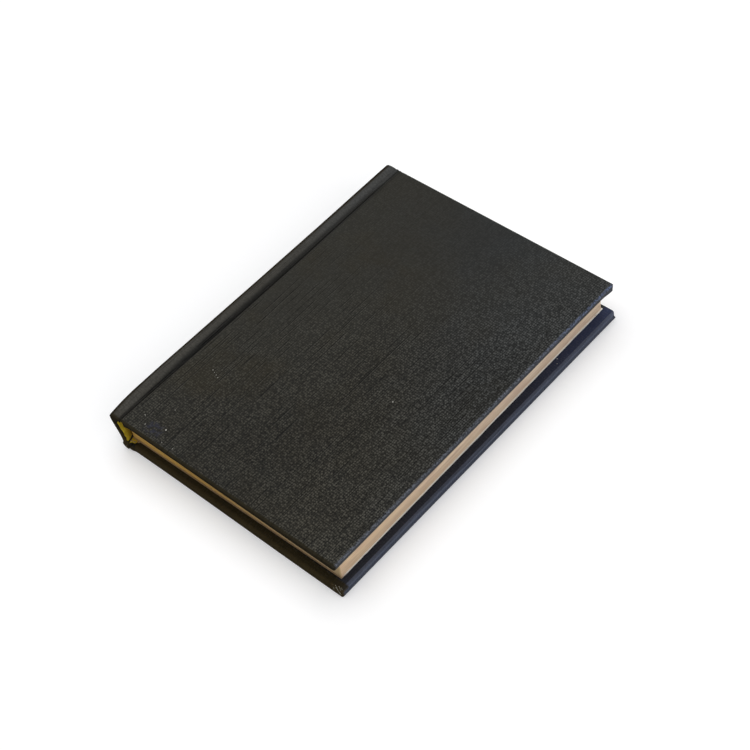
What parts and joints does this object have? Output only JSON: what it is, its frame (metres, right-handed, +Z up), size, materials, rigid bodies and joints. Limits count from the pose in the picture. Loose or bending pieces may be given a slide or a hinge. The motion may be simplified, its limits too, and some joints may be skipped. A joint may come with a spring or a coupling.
{
  "type": "cloth-bound notebook",
  "caption": "Small hardback notebook in black grained book cloth, hollow back, two joint grooves, tan page edges; both covers turn on their joints.",
  "frame": {"origin": "under the middle of the closed book, on the surface it lies on", "axes": "+X from the spine to the fore edge, +Y from tail to head, +Z up through the thickness"},
  "size_m": [0.1106, 0.154, 0.0178],
  "materials": {
    "book_cloth": "fine leather grain, worn matt black cloth",
    "greyboard": "raw",
    "inlay_card": "raw",
    "page_paper": "cut edges, aged",
    "endpaper": "smooth, slightly aged",
    "liner_paper": "ochre yellow, matt",
    "glued_gauze": "stiff with old amber glue"
  },
  "bodies": {
    "book_block": {"page_block": "page_paper", "front_flyleaf": "endpaper", "back_flyleaf": "endpaper", "spine_lining": "glued_gauze", "spine_liner": "liner_paper", "spine_inlay": "inlay_card", "spine_cloth": "book_cloth"},
    "front_cover": {"front_board": "greyboard", "front_cover_cloth": "book_cloth", "front_pastedown": "endpaper"},
    "back_cover": {"back_board": "greyboard", "back_cover_cloth": "book_cloth", "back_pastedown": "endpaper"}
  },
  "joints": [
    {"name": "front_cover_hinge", "type": "hinge", "parent": "book_block", "child": "front_cover", "pos_m": [-0.052, 0, 0.0146], "axis": [0, -1, 0], "range_deg": [0, 180]},
    {"name": "back_cover_hinge", "type": "hinge", "parent": "book_block", "child": "back_cover", "pos_m": [-0.052, 0, 0.0032], "axis": [0, 1, 0], "range_deg": [0, 180]}
  ]
}
